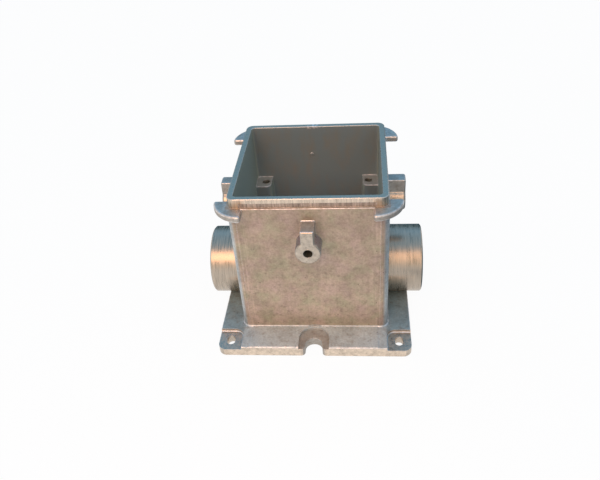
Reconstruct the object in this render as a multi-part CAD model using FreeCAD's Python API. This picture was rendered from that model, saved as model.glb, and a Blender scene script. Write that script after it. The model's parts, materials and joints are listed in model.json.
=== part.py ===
import FreeCAD, Part
import math
import os

# Die cast aluminium housing, cast in one piece: an open-topped square box on a
# mounting flange, with a threaded entry spigot on each side, a drilled boss in
# the middle of each wall and a clamping lug round each corner under the rim.
#
# Frame: millimetres, +Z up. The origin is the centre of the flange's underside,
# X runs along the spigots and Y from the front wall to the back wall.

# ---- Driving dimensions ---------------------------------------------------

# Box
box_width = 101.4            # over the side walls, along X
box_depth = 100.8            # over the front and back walls, along Y
box_corner_radius = 5.5
overall_height = 114.0       # underside of the flange to the rim
wall_thickness = 4.6         # at the top of the box, under the collar
floor_thickness = 5.0
core_draft = 0.5             # degrees; the cavity narrows towards the floor
cavity_corner_radius = 2.5   # upright corners and round the floor

# Collar that forms the machined rim
collar_height = 6.6
ledge_width = 0.8            # step from the box wall in to the collar
ledge_edge_radius = 0.6
rim_chamfer = 0.4            # inner and outer edge of the rim
band_height = 3.4            # shallow band sunk into each side of the collar
band_depth = 0.6
band_end_inset = 7.6         # from the collar's side to the end of the band

# Mounting flange
flange_thickness = 7.6
flange_side_reach = 15.6     # beyond the side walls
flange_end_reach = 20.8      # beyond the front and back walls
flange_corner_radius = 6.0
flange_edge_radius = 0.8
foot_fillet_radius = 1.2     # where the walls meet the flange
panel_rise = 0.35            # raised middle panel in front of and behind the box
panel_end_inset = 6.9        # from the line of the side wall to the panel's end

# Screw seats in the flange's corners
seat_width = 16.6            # from the flange's side edge
seat_length = 17.7           # from the flange's front or back edge
seat_corner_radius = 6.0
seat_depth = 2.2
seat_fillet_radius = 0.9     # round the foot of the recess
screw_slot_width = 5.5
screw_slot_length = 8.0      # end to end, along Y
screw_slot_inset_x = 8.3     # slot centre from the flange's side edge
screw_slot_inset_y = 9.0     # slot centre from the flange's front or back edge

# Open notch in the middle of the flange's front and back edges
notch_width = 11.8
notch_centre_inset = 4.8     # centre of the notch's round end from the edge
notch_mouth_radius = 2.8
spotface_diameter = 20.8
spotface_centre_inset = 9.6
spotface_depth = 1.5
cutter_relief = 1.5          # radial clearance that the cutter leaves in the wall
cutter_relief_height = 5.9   # above the flange

# Entry spigots on the side walls
spigot_diameter = 49.2
spigot_axis_height = 29.1
spigot_reach = 24.9          # beyond the side wall
spigot_end_chamfer = 0.8
spigot_root_fillet = 1.0
thread_major_diameter = 40.0 # the fine ridges of the thread are not modelled
thread_length = 22.0         # from the spigot's mouth
throat_diameter = 35.0       # from the thread's end into the cavity
thread_lead_chamfer = 1.0

# Boss in the middle of each wall
boss_diameter = 16.4
boss_reach = 12.2
boss_axis_drop = 25.6        # below the ledge
boss_neck_width = 8.7
boss_neck_drop = 9.3         # flat top of the neck below the ledge
boss_edge_radius = 1.3       # round the front face
boss_neck_edge_radius = 0.8  # both sides of the neck's flat top
boss_neck_fillet = 1.2       # where the neck runs into the round pad
boss_root_fillet = 0.8
boss_hole_diameter = 5.9
boss_hole_depth = 13.0

# Clamping lug round each corner, its top level with the ledge
lug_radius = 19.1
lug_centre_inset = 10.2      # lug centre from the outside of both walls
lug_thickness = 4.8
lug_edge_radius = 1.6
lug_end_radius = 1.5         # seen from above, where the arc meets each end

# Pillars in the cavity's corners
pillar_top_drop = 41.4       # below the rim
pillar_width = 11.5          # along X, at its top
pillar_length = 14.2         # along Y, at its top
pillar_corner_radius = 4.0
pillar_edge_radius = 0.8     # round the free edge of the pad
pillar_root_fillet = 0.9     # where the pad meets the walls of the cavity
pillar_hole_diameter = 5.0
pillar_hole_depth = 18.0
pillar_hole_inset_x = 7.2    # hole centre from the side wall of the cavity
pillar_hole_inset_y = 7.2    # hole centre from its front or back wall

drill_point_angle = 118.0    # degrees
overrun = 2.0                # by which tools and joined shapes pass the faces they meet
same_place = 0.001           # places closer than this count as one

# ---- Values worked out from them ------------------------------------------

half_width = box_width / 2
half_depth = box_depth / 2
ledge_height = overall_height - collar_height
flange_half_width = half_width + flange_side_reach
flange_half_depth = half_depth + flange_end_reach
rim_half_width = half_width - ledge_width
rim_half_depth = half_depth - ledge_width
cavity_half_width = half_width - wall_thickness
cavity_half_depth = half_depth - wall_thickness
pillar_top = overall_height - pillar_top_drop
draft_slope = math.tan(math.radians(core_draft))

QUADRANTS = [(-1, -1), (1, -1), (1, 1), (-1, 1)]
SIDES = (-1, 1)
UP = FreeCAD.Vector(0, 0, 1)


# ---- Shared shapes ---------------------------------------------------------

def point(x, y, z=0.0):
    return FreeCAD.Vector(x, y, z)


def rounded_rectangle(x0, x1, y0, y1, z, radius):
    """Closed wire of a rectangle with four equal round corners."""
    diagonal = radius * (1 - math.sqrt(0.5))
    corners = [(x0, y0, 1, 1), (x1, y0, -1, 1), (x1, y1, -1, -1), (x0, y1, 1, -1)]
    edges = []
    previous_end = None
    first_start = None
    for index, (x, y, inward_x, inward_y) in enumerate(corners):
        on_y_side = point(x, y + inward_y * radius, z)
        on_x_side = point(x + inward_x * radius, y, z)
        middle = point(x + inward_x * diagonal, y + inward_y * diagonal, z)
        start, end = (on_y_side, on_x_side) if index % 2 == 0 else (on_x_side, on_y_side)
        if previous_end is not None:
            edges.append(Part.LineSegment(previous_end, start).toShape())
        else:
            first_start = start
        edges.append(Part.Arc(start, middle, end).toShape())
        previous_end = end
    edges.append(Part.LineSegment(previous_end, first_start).toShape())
    return Part.Wire(edges)


def rounded_block(x0, x1, y0, y1, z0, z1, radius):
    """Upright block with four round vertical edges."""
    outline = rounded_rectangle(x0, x1, y0, y1, z0, radius)
    return Part.Face(outline).extrude(point(0, 0, z1 - z0))


def plain_block(x0, x1, y0, y1, z0, z1):
    """Block between two corners given in either order."""
    low = point(min(x0, x1), min(y0, y1), min(z0, z1))
    return Part.makeBox(abs(x1 - x0), abs(y1 - y0), abs(z1 - z0), low)


def drilled_hole(mouth, inward, diameter, depth):
    """Drill's volume from just outside the mouth to its conical end."""
    radius = diameter / 2
    point_length = radius / math.tan(math.radians(drill_point_angle / 2))
    start = mouth - inward * overrun
    shank = Part.makeCylinder(radius, depth + overrun, start, inward)
    tip = Part.makeCone(radius, 0, point_length, mouth + inward * depth, inward)
    return shank.fuse(tip)


def round_edges(shape, radius, wanted):
    """Fillet the edges that the test named wanted picks out."""
    edges = [edge for edge in shape.Edges if wanted(edge)]
    if radius <= 0 or not edges:
        return shape
    return shape.makeFillet(radius, edges)


def lies_at(value, target):
    """True where two lengths or places are the same."""
    return abs(value - target) < same_place


def edge_is_level_at(edge, height):
    """True for an edge that lies flat at a height."""
    return lies_at(edge.BoundBox.ZMin, height) and lies_at(edge.BoundBox.ZMax, height)


# ---- Parts of the casting --------------------------------------------------

def plain_box():
    """Outside of the box alone, from the underside up to the ledge."""
    box = rounded_block(-half_width, half_width, -half_depth, half_depth,
                        0, ledge_height, box_corner_radius)
    return round_edges(box, ledge_edge_radius,
                       lambda edge: edge_is_level_at(edge, ledge_height))


def flange_and_box():
    """Flange plate with its raised panels, filleted round the foot of the box."""
    flange = rounded_block(-flange_half_width, flange_half_width,
                           -flange_half_depth, flange_half_depth,
                           0, flange_thickness, flange_corner_radius)
    flange = round_edges(flange, flange_edge_radius,
                         lambda edge: edge_is_level_at(edge, flange_thickness))
    casting = flange.fuse(plain_box())

    def is_foot_line(edge):
        bounds = edge.BoundBox
        inside = max(-bounds.XMin, bounds.XMax) < half_width + same_place
        inside = inside and max(-bounds.YMin, bounds.YMax) < half_depth + same_place
        return inside and edge_is_level_at(edge, flange_thickness)

    casting = round_edges(casting, foot_fillet_radius, is_foot_line)
    panel_half_width = half_width - panel_end_inset
    panel_edge = flange_half_depth - flange_edge_radius
    for side in SIDES:
        panel = plain_block(-panel_half_width, panel_half_width,
                            side * (half_depth - wall_thickness / 2), side * panel_edge,
                            flange_thickness / 2, flange_thickness + panel_rise)
        casting = casting.fuse(panel)
    return casting


def collar():
    """Rim stock above the ledge, with a shallow band sunk into each side."""
    radius = max(box_corner_radius - ledge_width, cavity_corner_radius)
    ring = rounded_block(-rim_half_width, rim_half_width, -rim_half_depth, rim_half_depth,
                         ledge_height - overrun, overall_height, radius)
    band_half_width = rim_half_width - band_end_inset
    band_half_depth = rim_half_depth - band_end_inset
    band_top = ledge_height + band_height
    for side in SIDES:
        along_x = plain_block(-band_half_width, band_half_width,
                              side * (rim_half_depth - band_depth),
                              side * (rim_half_depth + overrun), ledge_height, band_top)
        along_y = plain_block(side * (rim_half_width - band_depth),
                              side * (rim_half_width + overrun),
                              -band_half_depth, band_half_depth, ledge_height, band_top)
        ring = ring.cut(along_x).cut(along_y)
    return ring


def corner_lug(side_x, side_y):
    """Quarter disc that stands out round one corner of the box."""
    centre_x = side_x * (half_width - lug_centre_inset)
    centre_y = side_y * (half_depth - lug_centre_inset)
    bottom = ledge_height - lug_thickness
    disc = Part.makeCylinder(lug_radius, lug_thickness, point(centre_x, centre_y, bottom))
    quarter = plain_block(centre_x, centre_x + side_x * (lug_radius + overrun),
                          centre_y, centre_y + side_y * (lug_radius + overrun),
                          bottom, ledge_height)
    lug = disc.common(quarter)

    def is_end_corner(edge):
        reach = max(abs(edge.BoundBox.Center.x - centre_x), abs(edge.BoundBox.Center.y - centre_y))
        return lies_at(edge.BoundBox.ZLength, lug_thickness) and lies_at(reach, lug_radius)

    lug = round_edges(lug, lug_end_radius, is_end_corner)
    return round_edges(lug, lug_edge_radius,
                       lambda edge: edge_is_level_at(edge, bottom)
                       or edge_is_level_at(edge, ledge_height))


def wall_boss():
    """Boss on the front wall: a round pad whose neck runs up to a flat top."""
    radius = boss_diameter / 2
    half_neck = boss_neck_width / 2
    axis_height = ledge_height - boss_axis_drop
    neck_top = ledge_height - boss_neck_drop
    face_y = -half_depth - boss_reach
    root_y = -half_depth + wall_thickness / 2
    join_height = axis_height + math.sqrt(radius ** 2 - half_neck ** 2)
    bottom = point(0, face_y, axis_height - radius)
    left_join = point(-half_neck, face_y, join_height)
    right_join = point(half_neck, face_y, join_height)
    left_top = point(-half_neck, face_y, neck_top)
    right_top = point(half_neck, face_y, neck_top)
    outline = Part.Wire([
        Part.Arc(left_join, bottom, right_join).toShape(),
        Part.LineSegment(right_join, right_top).toShape(),
        Part.LineSegment(right_top, left_top).toShape(),
        Part.LineSegment(left_top, left_join).toShape(),
    ])
    boss = Part.Face(outline).extrude(point(0, root_y - face_y, 0))

    def runs_back_from(edge, height):
        bounds = edge.BoundBox
        return lies_at(bounds.YLength, root_y - face_y) and edge_is_level_at(edge, height)

    boss = round_edges(boss, boss_neck_edge_radius, lambda edge: runs_back_from(edge, neck_top))
    boss = round_edges(boss, boss_neck_fillet, lambda edge: runs_back_from(edge, join_height))
    return round_edges(boss, boss_edge_radius,
                       lambda edge: lies_at(edge.BoundBox.YMax, face_y))


def wall_boss_turned(shape, index):
    """The front boss, or its hole, turned to wall number index and set on that wall."""
    turned = shape.copy()
    turned.rotate(point(0, 0), UP, 90 * index)
    if index % 2 == 1:
        side = 1 if index == 1 else -1
        turned.translate(point(side * (half_width - half_depth), 0))
    return turned


def wall_boss_hole():
    """Screw hole in the front boss."""
    mouth = point(0, -half_depth - boss_reach, ledge_height - boss_axis_drop)
    return drilled_hole(mouth, point(0, 1, 0), boss_hole_diameter, boss_hole_depth)


def spigot(side):
    """Outside of one entry spigot."""
    radius = spigot_diameter / 2
    root_x = half_width - wall_thickness / 2
    length = half_width + spigot_reach - root_x
    start = point(side * root_x, 0, spigot_axis_height)
    outside = Part.makeCylinder(radius, length, start, point(side, 0, 0))
    end_edges = [edge for edge in outside.Edges
                 if lies_at(edge.BoundBox.Center.x, side * (root_x + length))]
    return outside.makeChamfer(spigot_end_chamfer, end_edges)


def spigot_bore(side):
    """Threaded part, its lead-in and the throat of one spigot."""
    mouth = side * (half_width + spigot_reach)
    inward = point(-side, 0, 0)
    thread_radius = thread_major_diameter / 2
    wide_radius = thread_radius + thread_lead_chamfer
    at_mouth = point(mouth, 0, spigot_axis_height)
    threaded = Part.makeCylinder(thread_radius, thread_length + overrun,
                                 at_mouth - inward * overrun, inward)
    lead_in = Part.makeCone(wide_radius + overrun, thread_radius,
                            thread_lead_chamfer + overrun, at_mouth - inward * overrun, inward)
    through = spigot_reach + wall_thickness + overrun
    throat = Part.makeCylinder(throat_diameter / 2, through, at_mouth, inward)
    return threaded.fuse([lead_in, throat])


def screw_slot(centre_x, centre_y):
    """Round-ended slot along Y, right through the flange."""
    radius = screw_slot_width / 2
    half_run = screw_slot_length / 2 - radius
    height = flange_thickness + 2 * overrun
    slot = plain_block(centre_x - radius, centre_x + radius,
                       centre_y - half_run, centre_y + half_run, -overrun, height - overrun)
    ends = [Part.makeCylinder(radius, height, point(centre_x, centre_y + end * half_run, -overrun))
            for end in SIDES]
    return slot.fuse(ends)


def screw_seat(side_x, side_y):
    """Corner recess open to both edges of the flange, with its slotted hole."""
    edge_x = side_x * flange_half_width
    edge_y = side_y * flange_half_depth
    reach = seat_corner_radius + overrun
    x_values = sorted([edge_x - side_x * seat_width, edge_x + side_x * reach])
    y_values = sorted([edge_y - side_y * seat_length, edge_y + side_y * reach])
    seat_height = flange_thickness - seat_depth
    recess = rounded_block(x_values[0], x_values[1], y_values[0], y_values[1],
                           seat_height, flange_thickness + overrun, seat_corner_radius)
    recess = round_edges(recess, seat_fillet_radius,
                         lambda edge: edge_is_level_at(edge, seat_height))
    slot = screw_slot(edge_x - side_x * screw_slot_inset_x, edge_y - side_y * screw_slot_inset_y)
    return recess.fuse(slot)


def edge_notch(side):
    """Through notch in the flange's edge, with its spot face and cutter relief."""
    edge_y = side * flange_half_depth
    outside_y = edge_y + side * overrun
    half_notch = notch_width / 2
    notch_y = edge_y - side * notch_centre_inset
    top = flange_thickness + panel_rise + overrun
    notch_height = top + overrun
    round_end = Part.makeCylinder(half_notch, notch_height, point(0, notch_y, -overrun))
    mouth = plain_block(-half_notch, half_notch, notch_y, outside_y, -overrun, top)
    cutter_y = edge_y - side * spotface_centre_inset
    cutter_radius = spotface_diameter / 2
    floor = flange_thickness - spotface_depth
    cutter = Part.makeCylinder(cutter_radius, top - floor, point(0, cutter_y, floor))
    path = plain_block(-cutter_radius, cutter_radius, cutter_y, outside_y, floor, top)
    relief_floor = flange_thickness + panel_rise
    relief = Part.makeCylinder(cutter_radius + cutter_relief, cutter_relief_height,
                               point(0, cutter_y, relief_floor))
    flares = [mouth_flare(side, corner, edge_y) for corner in SIDES]
    return round_end.fuse([mouth, cutter, path, relief] + flares)


def mouth_flare(side, corner, edge_y):
    """Wedge that rounds one corner of a notch's mouth."""
    corner_x = corner * notch_width / 2
    radius = notch_mouth_radius
    square = plain_block(corner_x - corner * overrun, corner_x + corner * radius,
                         edge_y - side * radius, edge_y + side * overrun,
                         -overrun, flange_thickness)
    keep = Part.makeCylinder(radius, flange_thickness + overrun,
                             point(corner_x + corner * radius, edge_y - side * radius, -overrun))
    return square.cut(keep)


def cavity_half_sizes(height):
    """Half width and half depth of the drafted cavity at a height."""
    shrink = (overall_height - height) * draft_slope
    return cavity_half_width - shrink, cavity_half_depth - shrink


def frustum(low, high, z0, z1):
    """Flat-sided block between two rectangles given as x0, x1, y0, y1."""
    wedge = Part.makeWedge(low[0], z0, -low[3], -high[3], high[0],
                           low[1], z1, -low[2], -high[2], high[1])
    wedge.rotate(point(0, 0), point(1, 0), 90)
    return wedge


def cavity():
    """Volume of the core: the drafted inside less the four corner pillars."""
    ends = []
    top = overall_height + overrun
    for height in (floor_thickness, top):
        half_x, half_y = cavity_half_sizes(height)
        ends.append((-half_x, half_x, -half_y, half_y))
    core = frustum(ends[0], ends[1], floor_thickness, top)
    core = round_edges(core, cavity_corner_radius,
                       lambda edge: not edge_is_level_at(edge, top))
    for side_x, side_y in QUADRANTS:
        core = core.cut(pillar(side_x, side_y))
    return round_edges(core, pillar_root_fillet, is_pad_root)


def is_pad_root(edge):
    """True for an edge where a pillar's pad meets the walls of the cavity."""
    wall_x, wall_y = cavity_half_sizes(pillar_top)
    bounds = edge.BoundBox
    outermost = max(abs(bounds.Center.x) - wall_x, abs(bounds.Center.y) - wall_y)
    return edge_is_level_at(edge, pillar_top) and outermost > -cavity_corner_radius


def pillar(side_x, side_y):
    """One corner pillar, drafted like the cavity, from the floor to its pad."""
    wall_x, wall_y = cavity_half_sizes(pillar_top)
    foot = floor_thickness - overrun
    ends = []
    for height in (foot, pillar_top):
        growth = (pillar_top - height) * draft_slope
        inner_x = wall_x - pillar_width - growth
        inner_y = wall_y - pillar_length - growth
        x_values = sorted([side_x * inner_x, side_x * rim_half_width])
        y_values = sorted([side_y * inner_y, side_y * rim_half_depth])
        ends.append(tuple(x_values + y_values))
    block = frustum(ends[0], ends[1], foot, pillar_top)

    def is_free_corner(edge):
        centre = edge.BoundBox.Center
        inward_x = abs(centre.x) < wall_x - pillar_width / 2
        inward_y = abs(centre.y) < wall_y - pillar_length / 2
        return inward_x and inward_y and edge.BoundBox.ZLength > overrun

    def is_free_edge(edge):
        centre = edge.BoundBox.Center
        inward_x = abs(centre.x) < wall_x - pillar_width / 2
        inward_y = abs(centre.y) < wall_y - pillar_length / 2
        return (inward_x or inward_y) and edge_is_level_at(edge, pillar_top)

    block = round_edges(block, pillar_corner_radius, is_free_corner)
    return round_edges(block, pillar_edge_radius, is_free_edge)


def pillar_hole(side_x, side_y):
    """Screw hole down one pillar."""
    wall_x, wall_y = cavity_half_sizes(pillar_top)
    mouth = point(side_x * (wall_x - pillar_hole_inset_x),
                  side_y * (wall_y - pillar_hole_inset_y), pillar_top)
    return drilled_hole(mouth, point(0, 0, -1), pillar_hole_diameter, pillar_hole_depth)


def lies_on_wall(edge):
    """True for an edge that lies flat on the outside of one of the four walls."""
    bounds = edge.BoundBox
    on_side = lies_at(bounds.XLength, 0) and lies_at(abs(bounds.XMin), half_width)
    on_end = lies_at(bounds.YLength, 0) and lies_at(abs(bounds.YMin), half_depth)
    return on_side or on_end


def is_boss_root(edge):
    """True for an edge where a boss meets its wall."""
    bounds = edge.BoundBox
    lowest = ledge_height - boss_axis_drop - boss_diameter / 2
    highest = ledge_height - boss_neck_drop
    in_height = bounds.ZMin > lowest - same_place and bounds.ZMax < highest + same_place
    beside = min(abs(bounds.Center.x), abs(bounds.Center.y)) < boss_diameter / 2 + same_place
    return in_height and beside and lies_on_wall(edge)


def is_spigot_root(edge):
    """True for an edge where a spigot meets its wall."""
    bounds = edge.BoundBox
    is_ring = lies_at(bounds.ZLength, spigot_diameter) and lies_at(bounds.YLength, spigot_diameter)
    return is_ring and lies_on_wall(edge)


def box_with_fittings():
    """Plain box with its bosses and spigots, filleted where they meet the walls."""
    box = plain_box().fuse([spigot(side) for side in SIDES])
    box = round_edges(box, spigot_root_fillet, is_spigot_root)
    box = box.fuse([wall_boss_turned(wall_boss(), index) for index in range(4)])
    return round_edges(box, boss_root_fillet, is_boss_root)


def rim_edges(casting):
    """Outer and inner edges of the rim's flat top."""
    return [edge for edge in casting.Edges if edge_is_level_at(edge, overall_height)]


def housing():
    """The whole casting as one solid."""
    lugs = [corner_lug(side_x, side_y) for side_x, side_y in QUADRANTS]
    casting = flange_and_box().fuse([box_with_fittings(), collar()] + lugs)
    casting = casting.cut(cavity())
    casting = casting.makeChamfer(rim_chamfer, rim_edges(casting))
    cuts = [spigot_bore(side) for side in SIDES]
    cuts += [edge_notch(side) for side in SIDES]
    cuts += [screw_seat(side_x, side_y) for side_x, side_y in QUADRANTS]
    cuts += [pillar_hole(side_x, side_y) for side_x, side_y in QUADRANTS]
    cuts += [wall_boss_turned(wall_boss_hole(), index) for index in range(4)]
    for tool in cuts:
        casting = casting.cut(tool)
    return casting.removeSplitter()


os.makedirs("parts", exist_ok=True)
solid = housing().Solids[0]
solid.exportStep("parts/housing.step")
print("housing: valid", solid.isValid(), "volume cm3", round(solid.Volume / 1000, 2))
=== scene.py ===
"""Looks of a die cast aluminium housing, built round the fixed frame of its solids.

The casting itself is the frame's own solid. This file gives it its finish and adds what is too
fine for the solid: entry threads, parting seams, ejector marks, a pip on the cavity's back wall
and the burrs that the drill left. Lengths are millimetres, apart from those named with _m.
"""

from __future__ import annotations

import json
import logging
import math
from dataclasses import dataclass
from enum import Enum

import bmesh
import bpy
from mathutils import Matrix, Vector

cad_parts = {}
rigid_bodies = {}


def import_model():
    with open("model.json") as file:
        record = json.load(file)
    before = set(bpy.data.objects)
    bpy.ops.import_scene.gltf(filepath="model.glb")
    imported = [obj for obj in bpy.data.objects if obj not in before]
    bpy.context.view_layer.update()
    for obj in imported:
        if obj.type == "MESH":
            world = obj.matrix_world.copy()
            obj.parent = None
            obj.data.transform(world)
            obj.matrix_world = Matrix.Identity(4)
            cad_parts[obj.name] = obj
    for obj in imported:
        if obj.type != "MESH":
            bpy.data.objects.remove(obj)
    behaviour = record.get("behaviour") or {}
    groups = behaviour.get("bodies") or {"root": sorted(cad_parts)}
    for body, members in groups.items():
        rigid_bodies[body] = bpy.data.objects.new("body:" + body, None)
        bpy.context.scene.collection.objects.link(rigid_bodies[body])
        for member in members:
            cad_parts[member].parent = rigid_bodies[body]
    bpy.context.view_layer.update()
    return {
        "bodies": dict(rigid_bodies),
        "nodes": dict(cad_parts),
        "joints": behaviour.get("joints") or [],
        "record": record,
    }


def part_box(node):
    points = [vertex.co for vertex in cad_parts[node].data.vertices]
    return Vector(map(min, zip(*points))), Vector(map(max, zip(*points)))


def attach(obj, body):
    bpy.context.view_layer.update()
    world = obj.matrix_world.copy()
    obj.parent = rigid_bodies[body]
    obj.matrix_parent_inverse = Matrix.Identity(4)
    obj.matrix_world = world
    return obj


LOG = logging.getLogger("housing")
MM = 0.001
BODY = "root"
CASTING = "housing"
FAR = 200.0             # past every side of the casting
BEVEL_SAMPLES = 6
QUARTERS = ((-1, -1), (1, -1), (1, 1), (-1, 1))     # signs of X and Y, round from the front left

Colour = tuple[float, float, float, float]
Place = tuple[float, float, float]
Socket = bpy.types.NodeSocket
Paint = str | float | Socket    # an sRGB colour as "#RRGGBB", a number, or an output socket


class Axis(Enum):
    """Axis of the casting's own space, with its number in a vector."""

    X = 0
    Y = 1
    Z = 2


def linear_colour(hex_code: str) -> Colour:
    """Turn an sRGB colour to the linear values that shaders take.

    Args:
        hex_code: The colour as "#RRGGBB".

    Returns:
        Red, green, blue and an opaque alpha, linear.
    """
    channels = []
    for start in (1, 3, 5):
        value = int(hex_code[start:start + 2], 16) / 255
        channels.append(value / 12.92 if value <= 0.04045 else ((value + 0.055) / 1.055) ** 2.4)
    return (*channels, 1.0)


def add_node(tree: bpy.types.NodeTree, kind: str, inputs: dict | None = None,
             **settings: object) -> bpy.types.Node:
    """Add one node to a tree with its settings and links.

    Args:
        tree: The tree that gets the node.
        kind: Blender's name of the node's type.
        inputs: Socket name or number to a value, to an sRGB colour as "#RRGGBB", or to the output
            socket to link from.
        **settings: Properties of the node itself.

    Returns:
        The new node.
    """
    node = tree.nodes.new(kind)
    for name, value in settings.items():
        setattr(node, name, value)
    for key, value in (inputs or {}).items():
        if isinstance(value, Socket):
            tree.links.new(value, node.inputs[key])
        else:
            node.inputs[key].default_value = linear_colour(value) if isinstance(value, str) else value
    return node


def blank_material(name: str) -> tuple[bpy.types.Material, bpy.types.NodeTree]:
    """Make a material with an empty node tree.

    Args:
        name: The material's name.

    Returns:
        The material and its tree.
    """
    material = bpy.data.materials.new(name)
    material.use_nodes = True
    material.node_tree.nodes.clear()
    return material, material.node_tree


def fill_ramp(node: bpy.types.Node, *stops: tuple[float, str]) -> None:
    """Give a colour ramp three stops, each a place from 0 to 1 and an sRGB colour."""
    elements = node.color_ramp.elements
    low, middle, high = stops
    for index, (position, tint) in enumerate((low, high)):
        elements[index].position = position
        elements[index].color = linear_colour(tint)
    elements.new(middle[0]).color = linear_colour(middle[1])


def join_sections(surface: bmesh.types.BMesh, sections: list[list[bmesh.types.BMVert]],
                  ends: bool = False) -> None:
    """Join each closed section of a surface to the next with four-sided faces.

    Args:
        surface: The surface that gets the faces.
        sections: Corners of each section, all in the same order.
        ends: True to close the first and the last section too.
    """
    for first, second in zip(sections, sections[1:]):
        for corner in range(len(first)):
            following = (corner + 1) % len(first)
            surface.faces.new((first[corner], first[following], second[following], second[corner]))
    if ends:
        surface.faces.new(sections[0])
        surface.faces.new(sections[-1][::-1])


def add_object(name: str, mesh_data: bmesh.types.BMesh, material: bpy.types.Material) -> bpy.types.Object:
    """Turn a finished bmesh into an object of the scene.

    Args:
        name: The object's name.
        mesh_data: Its mesh in metres. It is freed here.
        material: Its finish.

    Returns:
        The object.
    """
    mesh = bpy.data.meshes.new(name)
    mesh_data.to_mesh(mesh)
    mesh_data.free()
    made = bpy.data.objects.new(name, mesh)
    bpy.context.scene.collection.objects.link(made)
    made.data.materials.append(material)
    return made


def mesh_piece(name: str, mesh_data: bmesh.types.BMesh, material: bpy.types.Material,
               smooth: bool = True) -> bpy.types.Object:
    """Turn a finished bmesh into a piece of the housing.

    Args:
        name: The piece's name.
        mesh_data: Its mesh in metres, in the frame's own place. It is freed here.
        material: Its finish.
        smooth: True for smooth shading.

    Returns:
        The object, riding on the casting's body.
    """
    bmesh.ops.recalc_face_normals(mesh_data, faces=mesh_data.faces)
    piece = add_object(name, mesh_data, material)
    for polygon in piece.data.polygons:
        polygon.use_smooth = smooth
    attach(piece, BODY)
    LOG.info("%s: %d faces", name, len(piece.data.polygons))
    return piece


# ---- Sizes of the casting that the looks follow -----------------------------

@dataclass(frozen=True)
class CastingSizes:
    """Places on the casting, in millimetres, from its frame and its mounts."""

    height: float
    flange_half_width: float
    flange_half_depth: float
    entry_height: float
    entry_radius: float
    entry_mouth: float
    boss_height: float
    boss_face: float
    boss_hole_radius: float
    pillar_hole_radius: float
    pillar_top: float
    pillar_x: float
    pillar_y: float
    box_half_width: float = 50.7
    box_half_depth: float = 50.4
    ledge_width: float = 0.8
    collar_height: float = 6.6
    flange_thickness: float = 7.6
    slot_to_side: float = 8.3       # from a flange slot's middle to the flange's side
    floor_thickness: float = 5.0
    wall_thickness: float = 4.6
    spigot_radius: float = 24.6
    seat_width: float = 16.6
    seat_length: float = 17.7
    seat_depth: float = 2.2
    lug_thickness: float = 4.8
    band_end_inset: float = 7.6
    panel_end_inset: float = 1.6
    boss_radius: float = 8.2
    boss_edge_radius: float = 1.3
    boss_neck_rise: float = 16.3
    core_draft_deg: float = 0.5

    @classmethod
    def from_frame(cls, frame: dict) -> CastingSizes:
        """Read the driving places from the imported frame.


        Returns:
            The sizes in millimetres.
        """
        mounts = {mount["name"]: mount for mount in frame["record"]["mounts"]}
        low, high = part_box(CASTING)
        entry = mounts["entry_right"]
        boss = mounts["boss_hole_front"]
        pillars = mounts["pillar_holes"]
        reach_behind_boss_mouth = boss["dims"]["length_mm"] / 2
        return cls(
            height=high.z / MM,
            flange_half_width=mounts["base_slots_right"]["pos_m"][0] / MM + cls.slot_to_side,
            flange_half_depth=high.y / MM,
            entry_height=entry["pos_m"][2] / MM,
            entry_radius=entry["dims"]["r_mm"],
            entry_mouth=high.x / MM,
            boss_height=boss["pos_m"][2] / MM,
            boss_face=-boss["pos_m"][1] / MM + reach_behind_boss_mouth,
            boss_hole_radius=boss["dims"]["r_mm"],
            pillar_hole_radius=pillars["dims"]["hole_r_mm"],
            pillar_top=pillars["pos_m"][2] / MM,
            pillar_x=pillars["dims"]["spacing_x_mm"] / 2,
            pillar_y=pillars["dims"]["spacing_y_mm"] / 2,
        )

    @property
    def ledge_top(self) -> float:
        """Height of the ledge under the collar."""
        return self.height - self.collar_height

    @property
    def side_boss_face(self) -> float:
        """Distance of the side bosses' faces from the middle."""
        return self.boss_face + self.box_half_width - self.box_half_depth

    @property
    def boss_top(self) -> float:
        """Height of the flat tops of the bosses' necks."""
        return self.boss_height + self.boss_neck_rise

    @property
    def rim_half_width(self) -> float:
        """Half of the collar's width."""
        return self.box_half_width - self.ledge_width

    @property
    def rim_half_depth(self) -> float:
        """Half of the collar's depth."""
        return self.box_half_depth - self.ledge_width

    @property
    def cavity_half_width(self) -> float:
        """Half of the cavity's width at the rim."""
        return self.box_half_width - self.wall_thickness

    @property
    def cavity_half_depth(self) -> float:
        """Half of the cavity's depth at the rim."""
        return self.box_half_depth - self.wall_thickness

    def inner_end_wall(self, height: float) -> float:
        """Distance of the drafted front or back wall of the cavity from the middle at a height."""
        return self.cavity_half_depth - (self.height - height) * math.tan(math.radians(self.core_draft_deg))


# ---- Finishes ----------------------------------------------------------------

class Mixed(Enum):
    """What a mix node mixes."""

    COLOURS = "RGBA"
    NUMBERS = "FLOAT"


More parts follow.
